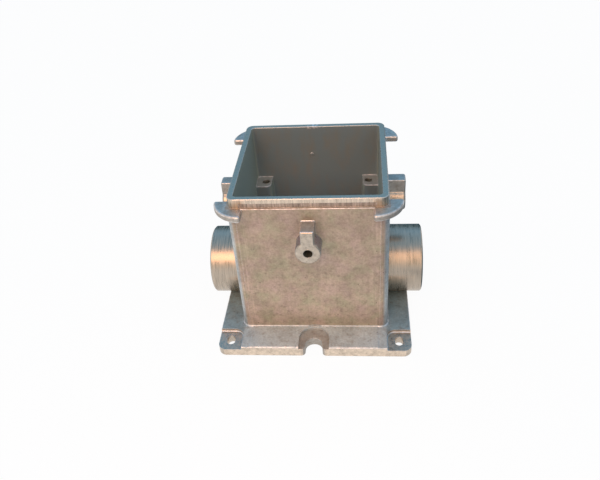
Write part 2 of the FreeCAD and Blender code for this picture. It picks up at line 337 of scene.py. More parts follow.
class MetalSheet:
    """A metal's node tree, with object space places in millimetres to paint by."""

    def __init__(self, name: str) -> None:
        """Start the material and its place nodes."""
        self.material, self.tree = blank_material(name)
        coordinates = self.node("ShaderNodeTexCoord")
        self.facing = coordinates.outputs["Normal"]
        scaled = self.node("ShaderNodeVectorMath", {0: coordinates.outputs["Object"], 1: (1 / MM,) * 3},
                           operation="MULTIPLY")
        self.place = scaled.outputs[0]
        folded = self.node("ShaderNodeVectorMath", {0: self.place}, operation="ABSOLUTE")
        self.mirrored = folded.outputs[0]

    def node(self, kind: str, inputs: dict | None = None, **settings: object) -> bpy.types.Node:
        """Add a node to this metal's tree."""
        return add_node(self.tree, kind, inputs, **settings)

    def in_box(self, low: Place, high: Place, blur: float = 0.1, mirrored: bool = True) -> Socket:
        """Mask of a box.

        Args:
            low: Lowest corner in millimetres, with X and Y from the middle outward if mirrored.
            high: Highest corner.
            blur: Width of the mask's soft edge.
            mirrored: True to repeat the box in all four quarters of the casting.

        Returns:
            A socket that is 1 in the box and 0 outside.
        """
        centre = tuple((a + b) / 2 for a, b in zip(low, high))
        half = tuple((b - a) / 2 for a, b in zip(low, high))
        source = self.mirrored if mirrored else self.place
        from_centre = self.node("ShaderNodeVectorMath", {0: source, 1: centre}, operation="SUBTRACT")
        distance = self.node("ShaderNodeVectorMath", {0: from_centre.outputs[0]}, operation="ABSOLUTE")
        outside = self.node("ShaderNodeVectorMath", {0: distance.outputs[0], 1: half}, operation="SUBTRACT")
        split = self.node("ShaderNodeSeparateXYZ", {0: outside.outputs[0]})
        return self.spread(self.either(*split.outputs), 0.0, blur, 1.0, 0.0)

    def slab(self, low: float, high: float, blur: float = 0.1) -> Socket:
        """Mask of all that lies between two heights."""
        return self.in_box((0.0, 0.0, low), (FAR, FAR, high), blur)

    def spread(self, value: Socket, low: float, high: float, to_low: float, to_high: float) -> Socket:
        """Stretch the span from low to high to the span from to_low to to_high, and clamp it."""
        ranged = self.node("ShaderNodeMapRange", {"Value": value, "From Min": low, "From Max": high,
                                                  "To Min": to_low, "To Max": to_high})
        return ranged.outputs[0]

    def round_axis(self, axis: Axis, centre: Place) -> Socket:
        """Distance from a line through centre along an axis, in millimetres."""
        flat = [1.0, 1.0, 1.0]
        flat[axis.value] = 0.0
        from_centre = self.node("ShaderNodeVectorMath", {0: self.place, 1: centre}, operation="SUBTRACT")
        projected = self.node("ShaderNodeVectorMath", {0: from_centre.outputs[0], 1: tuple(flat)},
                              operation="MULTIPLY")
        length = self.node("ShaderNodeVectorMath", {0: projected.outputs[0]}, operation="LENGTH")
        return length.outputs["Value"]

    def between(self, value: Socket, low: float, high: float, blur: float) -> Socket:
        """Mask that is 1 where a value lies between two limits."""
        return self.times(self.spread(value, low - blur, low, 0.0, 1.0),
                          self.spread(value, high, high + blur, 1.0, 0.0))

    def times(self, first: Socket, second: Socket | float) -> Socket:
        """Product of two numbers."""
        return self.node("ShaderNodeMath", {0: first, 1: second}, operation="MULTIPLY").outputs[0]

    def either(self, *masks: Socket) -> Socket:
        """Largest of some numbers, so the mask that is 1 where any of some masks is."""
        joined = masks[0]
        for mask in masks[1:]:
            joined = self.node("ShaderNodeMath", {0: joined, 1: mask}, operation="MAXIMUM").outputs[0]
        return joined

    def part_along(self, vector: Socket, axis: Axis) -> Socket:
        """Part of a place or a normal that lies along an axis."""
        return self.node("ShaderNodeSeparateXYZ", {0: vector}).outputs[axis.value]

    def fade(self, axis: Axis, start: float, end: float, at_start: float, at_end: float) -> Socket:
        """Number that goes evenly from one value to another between two places on an axis."""
        return self.spread(self.part_along(self.place, axis), start, end, at_start, at_end)

    def outward(self, axis: Axis, start: float, end: float, at_start: float, at_end: float) -> Socket:
        """The same to both sides of the middle, between two distances from it."""
        return self.spread(self.part_along(self.mirrored, axis), start, end, at_start, at_end)

    def squareness(self, axis: Axis) -> Socket:
        """How square a face stands to an axis, either way round, from 0 to 1."""
        return self.node("ShaderNodeMath", {0: self.part_along(self.facing, axis)},
                         operation="ABSOLUTE").outputs[0]

    def level(self) -> Socket:
        """Mask of the faces that look straight up, by the cosine of their lean."""
        return self.spread(self.part_along(self.facing, Axis.Z), 0.80, 0.95, 0.0, 1.0)

    def fillets(self) -> Socket:
        """Mask of the rounded edges between level faces and upright ones."""
        return self.between(self.squareness(Axis.Z), 0.30, 0.88, 0.12)

    def sharp_edges(self, radius: float) -> Socket:
        """Mask of the sharp edges, as wide as a radius in millimetres to each side."""
        softened = self.node("ShaderNodeBevel", {"Radius": radius * MM}, samples=BEVEL_SAMPLES)
        surface = self.node("ShaderNodeNewGeometry")
        agreement = self.node("ShaderNodeVectorMath", {0: softened.outputs[0], 1: surface.outputs["Normal"]},
                              operation="DOT_PRODUCT")
        return self.spread(agreement.outputs["Value"], 0.86, 0.985, 1.0, 0.0)

    def blend(self, share: Socket | float, first: Paint, second: Paint,
              what: Mixed = Mixed.COLOURS) -> Socket:
        """Mix two colours or two numbers.

        Args:
            share: 0 gives the first, 1 the second.
            first: sRGB colour, number or socket.
            second: sRGB colour, number or socket.
            what: What is mixed.

        Returns:
            The mixed socket.
        """
        first_input, output = (6, 2) if what is Mixed.COLOURS else (2, 0)
        mix = self.node("ShaderNodeMix", {0: share, first_input: first, first_input + 1: second},
                        data_type=what.value)
        return mix.outputs[output]

    def coats(self, base: Paint, *over: tuple[Socket, Paint], what: Mixed = Mixed.COLOURS) -> Socket:
        """Lay coats over a base.

        Args:
            base: What shows where no coat lies.
            *over: Mask of each coat with its colour or number, the top one last.
            what: What is mixed.

        Returns:
            The socket of what shows.
        """
        for mask, coat in over:
            base = self.blend(mask, base, coat, what)
        return base

    def shaded(self, colour: Socket, pattern: Socket, contrast: float) -> Socket:
        """Make a colour lighter and darker by a pattern.

        Args:
            colour: The colour.
            pattern: Soft pattern from 0 to 1, with 0.5 in the middle.
            contrast: Share by which the colour grows at the pattern's lightest places.

        Returns:
            The shaded colour.
        """
        return self.scaled(colour, self.spread(pattern, 0.25, 0.75, 1.0 - contrast, 1.0 + contrast))

    def scaled(self, colour: Socket, factor: Socket) -> Socket:
        """Make a colour lighter or darker by a factor."""
        return self.node("ShaderNodeVectorMath", {0: colour, "Scale": factor}, operation="SCALE").outputs[0]

    def noise(self, size: float, stretch: Place = (1.0, 1.0, 1.0), detail: float = 3.0,
              roughness: float = 0.55, shift: float = 0.0) -> Socket:
        """Soft random pattern from 0 to 1.

        Args:
            size: Width of one patch in millimetres.
            stretch: How much longer the patches are along each axis.
            detail: Octaves of finer pattern.
            roughness: Strength of each finer octave.
            shift: Moves the pattern, so that two of the same size differ.

        Returns:
            The pattern's socket.
        """
        scale = tuple(1 / (size * factor) for factor in stretch)
        moved = self.node("ShaderNodeMapping", {"Vector": self.place, "Location": (shift, shift, shift),
                                                "Scale": scale})
        pattern = self.node("ShaderNodeTexNoise", {"Vector": moved.outputs[0], "Scale": 1.0,
                                                   "Detail": detail, "Roughness": roughness})
        return pattern.outputs["Fac"]

    def finish(self, colour: Socket, roughness: Socket, height: Socket, edge_radius: float,
               metallic: Socket | float = 1.0) -> bpy.types.Material:
        """Join the pattern sockets to a metal shader.

        Args:
            colour: Base colour.
            roughness: Roughness.
            height: Surface height in millimetres.
            edge_radius: Radius in millimetres to which sharp edges look broken.
            metallic: 1 for bare metal, less where a dull film lies on it.

        Returns:
            The finished material.
        """
        soft_edge = self.node("ShaderNodeBevel", {"Radius": edge_radius * MM}, samples=BEVEL_SAMPLES)
        bump = self.node("ShaderNodeBump", {"Height": height, "Distance": MM, "Strength": 1.0,
                                            "Normal": soft_edge.outputs[0]})
        shader = self.node("ShaderNodeBsdfPrincipled", {"Base Color": colour, "Roughness": roughness,
                                                        "Metallic": metallic, "Normal": bump.outputs[0]})
        self.node("ShaderNodeOutputMaterial", {"Surface": shader.outputs[0]})
        return self.material


class CastingSheet(MetalSheet):
    """The casting's node tree, with a mask for each zone that its finish treats apart.

    A mask starts a little inside the faces that it covers and ends a little outside them.
    """

    rim_depth: float = 0.5         # how far below the top the rim's mask reaches
    slack: float = 0.3             # how far inside an upright face its mask starts
    corner_size: float = 9.0       # width of an upright corner of the box
    face_reach: float = 10.0       # to each side of a boss's axis and below it, past its flat end
    neck_reach: float = 20.0       # from the boss's axis to past the top of its neck
    cavity_wear_and_highlight: float = 0.80      # strength of the wear and painted highlight in the cavity
    barrel_rings: tuple[float, float] = (-0.7, 0.15)     # from the bosses' radius: their round outsides
    join_rings: tuple[float, float] = (0.15, 1.4)        # the same: the fillets round them

    def __init__(self, name: str, sizes: CastingSizes) -> None:
        """Start the material for a casting of these sizes."""
        super().__init__(name)
        self.sizes = sizes

    def rim(self) -> Socket:
        """Milled top of the collar."""
        return self.slab(self.sizes.height - self.rim_depth, self.sizes.height + 1.0, 0.05)

    def inside(self) -> Socket:
        """Walls and floor of the cavity, below the rim."""
        sizes = self.sizes
        return self.in_box((0.0, 0.0, sizes.floor_thickness - 1.0),
                           (sizes.cavity_half_width + 1.5, sizes.cavity_half_depth + 1.5,
                            sizes.height - self.rim_depth), 0.05)

    def pads(self) -> Socket:
        """Drilled tops of the pillars in the cavity."""
        top = self.sizes.pillar_top
        return self.times(self.slab(top - 0.4, top + 0.4), self.level())

    def panel(self) -> Socket:
        """Flange's top in front of the end walls."""
        sizes = self.sizes
        return self.in_box((0.0, sizes.box_half_depth + 0.6, sizes.flange_thickness - 0.2),
                           (sizes.box_half_width - sizes.panel_end_inset, sizes.flange_half_depth,
                            sizes.flange_thickness + 1.0), 1.6)

    def walls(self) -> Socket:
        """Outsides of the box's walls, up to the ledge."""
        sizes = self.sizes
        return self.in_box((0.0, 0.0, sizes.flange_thickness + 1.2),
                           (sizes.box_half_width + 0.1, sizes.box_half_depth + 0.2, sizes.ledge_top), 0.3)

    def side_walls(self) -> Socket:
        """Outsides of the left and right walls, with the corner's round next to them."""
        sizes = self.sizes
        return self.in_box((sizes.box_half_width - 2.0, 0.0, sizes.flange_thickness + 1.0),
                           (sizes.box_half_width + 1.0, sizes.box_half_depth, sizes.ledge_top - 0.8), 1.6)

    def wall_corners(self) -> Socket:
        """Upright corners of the box, up to the ledge."""
        sizes = self.sizes
        return self.in_box((sizes.box_half_width - self.corner_size, sizes.box_half_depth - self.corner_size,
                            sizes.flange_thickness),
                           (sizes.box_half_width + 1.0, sizes.box_half_depth + 1.0, sizes.ledge_top), 2.5)

    def collar_bands(self) -> Socket:
        """Shallow bands sunk into the collar's faces, which keep their skin."""
        sizes = self.sizes
        return self.in_box((0.0, 0.0, sizes.ledge_top + 0.2),
                           (sizes.rim_half_width, sizes.rim_half_depth, sizes.height), 0.1)

    def collar(self) -> Socket:
        """Upright outer faces of the collar, without the shallow bands sunk into them."""
        low = self.sizes.ledge_top + 0.1
        top = self.sizes.height - self.rim_depth
        width, depth = self.sizes.rim_half_width, self.sizes.rim_half_depth
        inset = self.sizes.band_end_inset
        return self.either(*(self.in_box((x, y, low), (FAR, FAR, top)) for x, y in (
            (width - self.slack, 0.0), (0.0, depth - self.slack), (width - inset, depth - inset))))

    def holes(self) -> Socket:
        """Walls of the screw holes in the bosses and the pillars."""
        sizes = self.sizes
        reach = sizes.boss_hole_radius + 0.05
        deep = sizes.boss_face - 0.15
        low, high = sizes.boss_height - reach, sizes.boss_height + reach
        end = self.in_box((0.0, 0.0, low), (reach, deep, high), 0.05)
        side = self.in_box((0.0, 0.0, low), (deep, reach, high), 0.05)
        top = sizes.height
        outside = self.either(self.in_box((0.0, sizes.box_half_depth + 0.5, 0.0), (reach, deep, top)),
                              self.in_box((sizes.box_half_width + 0.5, 0.0, 0.0), (deep, reach, top)))
        in_pillar = self.in_box(
            (sizes.pillar_x - reach, sizes.pillar_y - reach, sizes.floor_thickness + 1.0),
            (sizes.pillar_x + reach, sizes.pillar_y + reach, sizes.pillar_top - 0.15), 0.05)
        return self.either(self.times(self.either(end, side), outside), in_pillar)

    def boss_rings(self, inner: float, outer: float) -> Socket:
        """Rings round the axes of the four bosses, outside the walls.

        Args:
            inner: How far inside or outside the bosses' radius the rings start.
            outer: The same for where they end.

        Returns:
            The mask.
        """
        sizes = self.sizes
        reach = sizes.boss_radius + 2.0
        low, high = sizes.boss_height - reach, sizes.boss_height + reach
        rings = []
        for axis, start, end in (
                (Axis.X, (sizes.box_half_width + 0.9, 0.0, low),
                 (sizes.side_boss_face - sizes.boss_edge_radius, reach, high)),
                (Axis.Y, (0.0, sizes.box_half_depth + 0.9, low),
                 (reach, sizes.boss_face - sizes.boss_edge_radius, high))):
            ring = self.between(self.round_axis(axis, (0.0, 0.0, sizes.boss_height)),
                                sizes.boss_radius + inner, sizes.boss_radius + outer, 0.1)
            rings.append(self.times(ring, self.in_box(start, end)))
        return self.either(*rings)

    def spigots(self) -> Socket:
        """Outsides and ends of the entry spigots, which are turned."""
        sizes = self.sizes
        radius = self.round_axis(Axis.X, (0.0, 0.0, sizes.entry_height))
        ring = self.between(radius, sizes.entry_radius - 1.5, sizes.spigot_radius + 0.4, 0.2)
        reach = self.in_box((sizes.box_half_width + 1.1, 0.0, 0.0),
                            (sizes.entry_mouth + 1.0, sizes.spigot_radius + 1.0, sizes.height), 0.3)
        return self.times(ring, reach)

    def milled(self) -> Socket:
        """Screw seats and the flat ends of the bosses, which a cutter has left bright."""
        sizes = self.sizes
        low, high = sizes.boss_height - self.face_reach, sizes.boss_height + self.neck_reach
        seat = self.in_box((sizes.flange_half_width - sizes.seat_width + 1.0,
                            sizes.flange_half_depth - sizes.seat_length + 1.0, 0.0),
                           (FAR, FAR, sizes.flange_thickness - sizes.seat_depth + 0.05))
        boss_end = self.in_box((0.0, sizes.boss_face - self.slack, low),
                               (self.face_reach, sizes.boss_face + 1.0, high))
        boss_side = self.in_box((sizes.boss_face, 0.0, low),
                                (sizes.boss_face + 1.0, self.face_reach, high))
        return self.either(seat, boss_end, boss_side)

    def sheared(self) -> Socket:
        """Upright edges of the flange, where the flash was sheared off."""
        width, depth = self.sizes.flange_half_width, self.sizes.flange_half_depth
        top = self.sizes.flange_thickness - 0.7
        return self.either(self.in_box((width - self.slack, 0.0, -1.0), (width + 1.0, FAR, top)),
                           self.in_box((0.0, depth - self.slack, -1.0), (FAR, depth + 1.0, top)))

    def wear_and_highlight_zones(self, inside: Socket) -> Socket:
        """Lugs, ledge, foot and bosses, and less strongly the cavity, whose rounded edges get wear and
        painted highlight.
        """
        sizes = self.sizes
        lugs_and_ledge = self.slab(sizes.ledge_top - sizes.lug_thickness - 0.2, sizes.height + 1.0)
        foot = self.slab(-1.0, sizes.flange_thickness + 1.4)
        boss_tops = self.slab(sizes.boss_top - 1.0, sizes.boss_top + 0.5)
        return self.either(lugs_and_ledge, foot, boss_tops, self.boss_rings(*self.join_rings),
                           self.times(inside, self.cavity_wear_and_highlight))


@dataclass(frozen=True)
class DieCastAluminium:
    """Aluminium casting alloy straight from the die, with turned and milled faces.

    The skin is matt: a film of oxide and die release scatters part of the light. It is a little
    brown on the front and back walls and greyer on the lugs and the bosses. A painted cool
    reflection makes it bluer at the corners of the side walls and on level faces towards the
    sides, and it is paler and greyer on the flange in front of the end walls. The shallow bands
    in the collar are painted darker as shade under the rim, with painted streaks of reflection.
    It is mottled in patches of some millimetres, with drag lines where it left the die and a few
    pores, and painted light makes the walls paler low down. Inside the cavity the film is
    thicker, so that it is a dull grey; painted light makes it paler low down and on its side
    walls, and painted shade makes it darker near the rim. The screw holes are painted dark as
    shade. Machined faces are paler, smoother and carry the tool's fine lines, and the barrels of
    the front and back bosses carry a painted cool reflection. Edges are rubbed bright: partly
    real wear, partly painted highlight.
    """

    skin: str = "#B2A190"
    skin_green: str = "#ABA38C"
    skin_pink: str = "#B49F94"
    skin_dark: str = "#85796C"
    fitting_skin: str = "#ABA8A2"
    # painted cool reflection on level faces towards the sides
    level_side_cool_reflection: str = "#9FB0B3"
    panel_skin: str = "#BDC6C7"
    # painted cool reflection on the side walls, strongest at their corners
    side_cool_reflection: str = "#B6C3C8"
    # painted shade under the rim, in the collar's shallow bands
    band_painted_shade: str = "#A9998D"
    inside_skin: str = "#78868B"
    inside_stain: str = "#83817A"
    # painted light on the cavity's side walls
    inside_side_painted_light: str = "#949E96"
    pad_skin: str = "#9FA09A"
    # painted shade in the screw holes
    hole_painted_shade: str = "#6C6F68"
    machined: str = "#C8BCAE"
    machined_dull: str = "#B4A798"
    trimmed: str = "#D8C6B3"
    turned_cut: str = "#B6A99A"
    # painted cool reflection on the barrels of the front and back bosses
    end_barrel_cool_reflection: str = "#ACB1C4"
    rim_film: str = "#B1ADA0"
    # pale colour of rubbed edges: partly real wear, partly painted highlight
    rubbed: str = "#E6E1E0"
    pore: str = "#5E564D"
    skin_roughness: float = 0.58
    skin_roughness_swing: float = 0.06
    inside_roughness: float = 0.78
    machined_roughness: float = 0.32
    machined_smoother: float = 0.07     # in the troughs of the tool's lines
    machined_rougher: float = 0.09      # and on their crests
    rubbed_roughness: float = 0.30
    skin_metallic: float = 0.72
    inside_metallic: float = 0.12
    panel_metallic: float = 0.38
    patch_size: float = 11.0
    patch_contrast: float = 0.17
    blotch_size: float = 3.4
    blotch_cover: float = 0.75
    grain_size: float = 1.3         # real grit of 0.2 mm is too fine to show
    grain_height: float = 0.018
    grain_contrast: float = 0.11
    drag_width: float = 1.2
    drag_length: float = 26.0
    drag_height: float = 0.008
    drag_contrast: float = 0.04
    corner_drag_contrast: float = 0.14
    pore_spacing: float = 8.0
    pore_size: float = 0.55
    film_size: float = 5.0
    stain_size: float = 9.0
    cloud_size: float = 6.0
    swirl_size: float = 2.6
    turning_pitch: float = 0.9      # real feed marks of 0.2 mm are too fine to show
    broach_pitch: float = 1.1       # as above, for the collar's upright lines
    turning_height: float = 0.021
    line_length: float = 14.0       # how far one tool line runs, in pitches
    line_contrast: float = 0.28
    # strength of the painted streaks of reflection in the collar's bands
    band_painted_streaks: float = 0.50
    foot_painted_light: float = 1.15         # painted light: how much lighter the walls are low down
    foot_top: float = 40.0          # up to where, and where it has faded out
    foot_end: float = 62.0
    side_reflection_strength: float = 0.80        # strength of the painted cool reflection on the side walls at their corners
    side_reflection_middle_share: float = 0.30     # share of it in the middle of a wall
    side_middle: float = 20.0       # from the middle, where it begins to rise
    cool_reflection_start: float = 43.0        # from the middle, where the painted cool reflection on level faces begins
    cool_reflection_full: float = 54.0
    barrel_reflection_reach: float = 12.0      # from the middle, as far as the barrels' painted cool reflection is full
    barrel_reflection_end: float = 16.0
    deep_painted_light: float = 1.25         # painted light: how much lighter the cavity is low down than its colours
    deep_top: float = 60.0          # up to where
    rim_painted_shade: float = 0.90       # painted shade: how much darker it is near the rim
    rim_shade_from: float = 108.0         # from where
    edge_radius: float = 0.30
    rub_width: float = 0.45
    rub_size: float = 2.2           # length of one rubbed stretch
    rim_chamfer_highlight: float = 0.45           # strength of the painted highlight on the rim's chamfers
    nick_size: float = 1.6
    nick_low: Place = (-5.0, 46.0, 112.8)
    nick_high: tuple[float, float] = (1.8, 51.0)

    def build(self, sizes: CastingSizes) -> bpy.types.Material:
        """Make the material of a casting of these sizes."""
        metal = CastingSheet("die_cast_aluminium_with_machined_faces", sizes)
        turned = metal.spigots()
        collar = metal.collar()
        trimmed = metal.either(collar, metal.sheared())
        rim = metal.rim()
        barrels = metal.boss_rings(*metal.barrel_rings)
        machined = metal.either(turned, trimmed, rim, barrels, metal.milled())
        inside = metal.inside()
        panel = metal.panel()
        # rubbed edges: partly real wear, partly painted highlight
        rubbed = self.rub_and_highlight_mask(metal, machined, inside, rim)
        upright = metal.noise(self.broach_pitch, stretch=(1.0, 1.0, self.line_length),
                              detail=2.0, shift=11.0)
        across = metal.noise(self.turning_pitch, stretch=(1.0, self.line_length, self.line_length),
                             detail=2.0, shift=7.0)
        lines = metal.coats(metal.noise(self.swirl_size, shift=17.0), (collar, upright), (turned, across),
                            what=Mixed.NUMBERS)
        cut = self.machined_colour(metal, turned, trimmed, lines)
        # painted cool reflection on the barrels of the front and back bosses
        cut = metal.coats(cut, (rim, self.rim_film), (self.end_barrel_reflection_mask(metal, barrels), self.end_barrel_cool_reflection))
        colour = metal.coats(self.skin_colour(metal, upright, panel), (machined, cut),
                             (inside, self.inside_colour(metal)), (rubbed, self.rubbed),
                             # painted shade in the screw holes
                             (metal.holes(), self.hole_painted_shade))
        film = metal.spread(metal.noise(self.film_size, detail=4.0, shift=13.0), 0.3, 0.7,
                            self.skin_roughness - self.skin_roughness_swing,
                            self.skin_roughness + self.skin_roughness_swing)
        tooled = metal.spread(lines, 0.35, 0.65, self.machined_roughness - self.machined_smoother,
                              self.machined_roughness + self.machined_rougher)
        roughness = metal.coats(film, (machined, tooled), (inside, self.inside_roughness),
                                (rubbed, self.rubbed_roughness), what=Mixed.NUMBERS)
        metallic = metal.coats(self.skin_metallic, (panel, self.panel_metallic), (machined, 1.0),
                               (inside, self.inside_metallic), (rubbed, 1.0), what=Mixed.NUMBERS)
        height = self.surface_height(metal, machined, inside, lines)
        return metal.finish(colour, roughness, height, self.edge_radius, metallic)

    def surface_height(self, metal: CastingSheet, machined: Socket, inside: Socket, lines: Socket) -> Socket:
        """Height of the grit, the drag lines and the tool's lines, in millimetres.

        Args:
            metal: The casting's node tree.
            machined: Mask of the machined faces.
            inside: Mask of the cavity.
            lines: Pattern of the tool's lines.

        Returns:
            The height.
        """
        grit = metal.times(metal.noise(self.grain_size, detail=2.0), self.grain_height)
        drag = metal.noise(self.drag_width, stretch=(1.0, 1.0, self.drag_length), detail=2.0, shift=3.0)
        skin = metal.node("ShaderNodeMath", {0: drag, 1: self.drag_height, 2: grit},
                          operation="MULTIPLY_ADD").outputs[0]
        return metal.coats(skin, (machined, metal.times(lines, self.turning_height)),
                           (inside, metal.times(drag, self.drag_height)), what=Mixed.NUMBERS)

    def skin_colour(self, metal: CastingSheet, upright: Socket, panel: Socket) -> Socket:
        """Mottled colour of the as-cast skin, with drag lines and pores, painted reflection, light and
        shade.

        Args:
            metal: The casting's node tree.
            upright: Pattern of upright lines.
            panel: Mask of the flange's top in front of the end walls, which is paler and greyer.

        Returns:
            The colour.
        """
        patches = metal.node("ShaderNodeValToRGB", {0: metal.noise(self.patch_size, detail=4.0)})
        fill_ramp(patches, (0.32, self.skin_green), (0.50, self.skin), (0.68, self.skin_pink))
        # painted light: the walls are paler low down, fading out higher up
        foot_light = metal.fade(Axis.Z, self.foot_top, self.foot_end, self.foot_painted_light, 1.0)
        mottled = metal.scaled(patches.outputs[0], foot_light)
        at_sides = metal.outward(Axis.X, self.cool_reflection_start, self.cool_reflection_full, 0.0, 1.0)
        to_corner = metal.outward(Axis.Y, self.side_middle, metal.sizes.box_half_depth - 4.0,
                                  self.side_reflection_middle_share, 1.0)
        # painted cool reflection on the side walls, stronger towards their corners
        side_reflection_mask = metal.times(metal.times(metal.side_walls(), to_corner), self.side_reflection_strength)
        bands = metal.collar_bands()
        # painted cool reflection on level faces towards the sides
        colour = metal.coats(self.fitting_skin, (metal.times(at_sides, metal.level()), self.level_side_cool_reflection),
                             (panel, self.panel_skin), (metal.walls(), mottled), (side_reflection_mask, self.side_cool_reflection),
                             (bands, self.band_painted_shade))
        # painted streaks of reflection in the collar's bands
        colour = metal.blend(bands, colour, metal.shaded(colour, upright, self.band_painted_streaks))
        blotches = metal.spread(metal.noise(self.blotch_size, detail=5.0, roughness=0.7, shift=19.0),
                                0.50, 0.78, 0.0, self.blotch_cover)
        colour = metal.blend(blotches, colour, self.skin_dark)
        grain = metal.noise(self.grain_size, detail=1.0, shift=29.0)
        colour = metal.shaded(colour, grain, self.grain_contrast)
        colour = metal.shaded(colour, metal.noise(self.patch_size, shift=67.0), self.patch_contrast)
        drag = metal.noise(self.drag_width, stretch=(1.0, 1.0, self.drag_length), detail=1.0, shift=5.0)
        colour = metal.shaded(colour, drag, self.drag_contrast)
        colour = metal.blend(metal.wall_corners(), colour,
                             metal.shaded(colour, drag, self.corner_drag_contrast))
        cells = metal.node("ShaderNodeTexVoronoi", {
            "Vector": metal.place, "Scale": 1 / self.pore_spacing, "Randomness": 1.0})
        pores = metal.spread(cells.outputs["Distance"], 0.4 * self.pore_size / self.pore_spacing,
                             self.pore_size / self.pore_spacing, 0.8, 0.0)
        return metal.blend(pores, colour, self.pore)

    def inside_colour(self, metal: CastingSheet) -> Socket:
        """Grey of the cavity, with a few brown stains running down the walls, paler pads, painted light and
        shade.
        """
        stains = metal.spread(metal.noise(self.stain_size, stretch=(1.0, 1.0, 2.5), detail=4.0, shift=43.0),
                              0.45, 0.75, 0.0, 0.8)
        # painted light on the cavity's side walls
        side_wall = metal.spread(metal.squareness(Axis.X), 0.50, 0.90, 0.0, 1.0)
        colour = metal.coats(self.inside_skin, (stains, self.inside_stain), (side_wall, self.inside_side_painted_light))
        # painted light low in the cavity and painted shade near the rim
        painted_depth_light = metal.fade(Axis.Z, self.deep_top, self.rim_shade_from, self.deep_painted_light, self.rim_painted_shade)
        colour = metal.scaled(colour, painted_depth_light)
        return metal.blend(metal.pads(), colour, self.pad_skin)

    def machined_colour(self, metal: CastingSheet, turned: Socket, trimmed: Socket, lines: Socket) -> Socket:
        """Pale cut metal, clouded and streaked along the tool's lines.

        Args:
            metal: The casting's node tree.
            turned: Mask of the turned faces.
            trimmed: Mask of the faces that the trimming tool sheared, which are the palest.
            lines: Pattern of the tool's lines.

        Returns:
            The colour.
        """
        clouds = metal.noise(self.cloud_size, shift=31.0)
        clouded = metal.coats(self.machined, (clouds, self.machined_dull), (trimmed, self.trimmed),
                              (turned, self.turned_cut))
        return metal.shaded(clouded, lines, self.line_contrast)

    def end_barrel_reflection_mask(self, metal: CastingSheet, barrels: Socket) -> Socket:
        """Barrels of the front and the back boss alone, out of those of all four, which get a painted cool
        reflection.
        """
        return metal.times(barrels, metal.outward(Axis.X, self.barrel_reflection_reach, self.barrel_reflection_end, 1.0, 0.0))

    def rub_and_highlight_mask(self, metal: CastingSheet, machined: Socket, inside: Socket, rim: Socket) -> Socket:
        """Edges where handling has rubbed the film off and painted highlight brightens them, broken up along
        their length.

        Args:
            metal: The casting's node tree.
            machined: Mask of the machined faces, whose broad rounds are left out.
            inside: Mask of the cavity, where the film is only thinner on the edges and their painted
                highlight is weaker.
            rim: Mask of the rim, whose chamfers get an even painted highlight and which is nicked at the
                back.

        Returns:
            The mask.
        """
        fillets = metal.fillets()
        rounds = metal.blend(machined, metal.times(fillets, metal.wear_and_highlight_zones(inside)), 0.0, Mixed.NUMBERS)
        wear = metal.spread(metal.noise(self.rub_size, detail=3.0, shift=53.0), 0.35, 0.60, 0.25, 0.9)
        worn_and_glinting = metal.times(metal.either(rounds, metal.sharp_edges(self.rub_width)), wear)
        nicked = metal.in_box(self.nick_low, (*self.nick_high, metal.sizes.height + 1.0), 1.0,
                              mirrored=False)
        broken = metal.spread(metal.noise(self.nick_size, shift=61.0), 0.42, 0.58, 0.0, 1.0)
        chamfers = metal.times(fillets, metal.times(rim, self.rim_chamfer_highlight))
        return metal.either(worn_and_glinting, chamfers, metal.times(nicked, broken))


@dataclass(frozen=True)
class TappedAluminium:
    """Aluminium cut by a tap or a drill: bright and smeared, with a fine grain in it."""

    cut: str = "#C9BFB3"
    rubbed: str = "#A79C8F"
    roughness: float = 0.30
    smoother: float = 0.06      # where the smears are thin
    rougher: float = 0.10       # and where they are thick
    smear_size: float = 3.0
    grain_size: float = 0.5
    grain_height: float = 0.006
    edge_radius: float = 0.08

    def build(self) -> bpy.types.Material:
        """Make the material for cut threads and drilled rings."""
        metal = MetalSheet("tapped_aluminium")
        smears = metal.noise(self.smear_size, detail=4.0)
        colour = metal.blend(smears, self.cut, self.rubbed)
        roughness = metal.spread(smears, 0.0, 1.0, self.roughness - self.smoother,
                                 self.roughness + self.rougher)
        height = metal.times(metal.noise(self.grain_size), self.grain_height)
        return metal.finish(colour, roughness, height, self.edge_radius)


# ---- Pieces that are too fine for the solid ---------------------------------------

